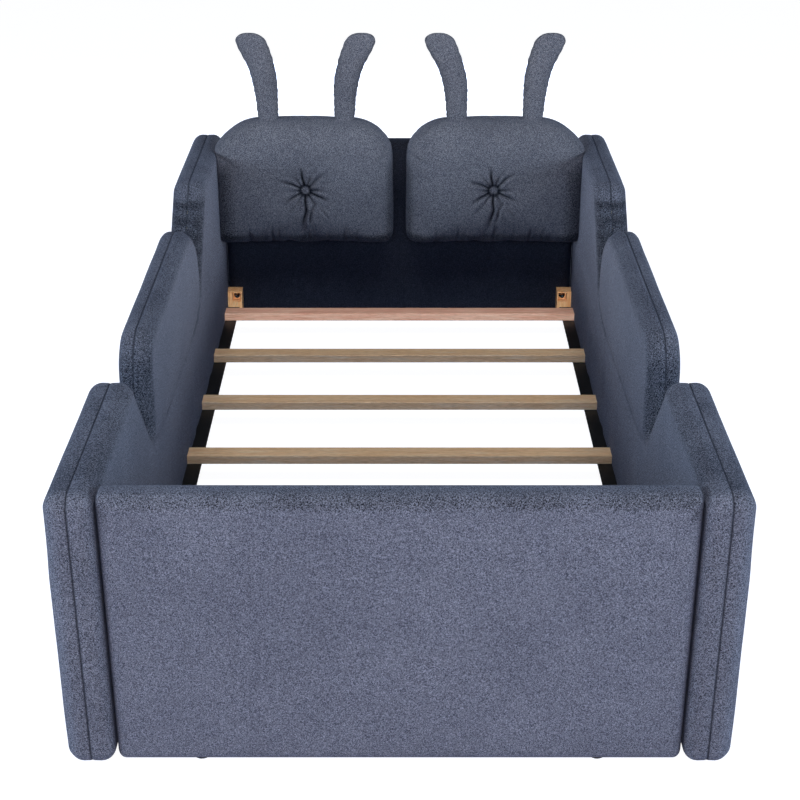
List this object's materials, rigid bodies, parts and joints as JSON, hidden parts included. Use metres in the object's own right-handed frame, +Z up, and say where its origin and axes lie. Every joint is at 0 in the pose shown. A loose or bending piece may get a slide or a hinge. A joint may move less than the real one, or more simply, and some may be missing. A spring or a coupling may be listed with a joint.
{
  "type": "floor bed",
  "caption": "Low upholstered floor bed with petal-shaped side panels, a slatted base and tufted back cushions with long plush ears.",
  "frame": {"origin": "on the floor under the middle of the bed", "axes": "+Z up, +Y from the footboard to the headboard, +X to the right seen from the foot"},
  "size_m": [1.17, 2.131, 0.859],
  "materials": {
    "cover_fabric": "matte",
    "cushion_fabric": "matte",
    "foam": "matte",
    "panel_board": "matte",
    "batten_wood": "matte",
    "slat_wood": "satin",
    "block_wood": "satin",
    "black_steel": "satin",
    "zinc_steel": "satin",
    "glide_plastic": "matte",
    "tape_fabric": "matte"
  },
  "bodies": {
    "bed_frame": {"left_side_inner_cover": "cover_fabric", "left_side_inner_foam": "foam", "left_side_inner_board": "panel_board", "left_side_outer_cover": "cover_fabric", "left_side_outer_foam": "foam", "left_side_outer_board": "panel_board", "left_side_frame": "batten_wood", "right_side_inner_cover": "cover_fabric", "right_side_inner_foam": "foam", "right_side_inner_board": "panel_board", "right_side_outer_cover": "cover_fabric", "right_side_outer_foam": "foam", "right_side_outer_board": "panel_board", "right_side_frame": "batten_wood", "headboard_inner_cover": "cover_fabric", "headboard_inner_foam": "foam", "headboard_inner_board": "panel_board", "headboard_outer_cover": "cover_fabric", "headboard_outer_foam": "foam", "headboard_outer_board": "panel_board", "headboard_frame": "batten_wood", "footboard_inner_cover": "cover_fabric", "footboard_inner_foam": "foam", "footboard_inner_board": "panel_board", "footboard_outer_cover": "cover_fabric", "footboard_outer_foam": "foam", "footboard_outer_board": "panel_board", "footboard_frame": "batten_wood", "slat_1": "slat_wood", "slat_2": "slat_wood", "slat_3": "slat_wood", "slat_4": "slat_wood", "slat_5": "slat_wood", "slat_6": "slat_wood", "slat_7": "slat_wood", "slat_ledge_right": "black_steel", "slat_ledge_left": "black_steel", "corner_block_head_right": "block_wood", "corner_block_foot_right": "block_wood", "corner_block_head_left": "block_wood", "corner_block_foot_left": "block_wood", "corner_bolts": "zinc_steel", "corner_tee_nuts": "zinc_steel", "block_and_ledge_screws": "zinc_steel", "slat_screws": "zinc_steel", "floor_glides": "glide_plastic", "headboard_loop_tapes": "tape_fabric"},
    "left_back_cushion": {"left_cushion": "cushion_fabric", "left_cushion_right_ear": "cushion_fabric", "left_cushion_left_ear": "cushion_fabric", "left_cushion_buttons": "cushion_fabric", "left_cushion_tuft_tie": "tape_fabric", "left_cushion_hook_tapes": "tape_fabric"},
    "right_back_cushion": {"right_cushion": "cushion_fabric", "right_cushion_right_ear": "cushion_fabric", "right_cushion_left_ear": "cushion_fabric", "right_cushion_buttons": "cushion_fabric", "right_cushion_tuft_tie": "tape_fabric", "right_cushion_hook_tapes": "tape_fabric"}
  },
  "joints": [
    {"name": "left_cushion_pulls_off", "type": "slide", "parent": "bed_frame", "child": "left_back_cushion", "axis": [0, -1, 0], "range_m": [0, 0.4]},
    {"name": "right_cushion_pulls_off", "type": "slide", "parent": "bed_frame", "child": "right_back_cushion", "axis": [0, -1, 0], "range_m": [0, 0.4]}
  ]
}
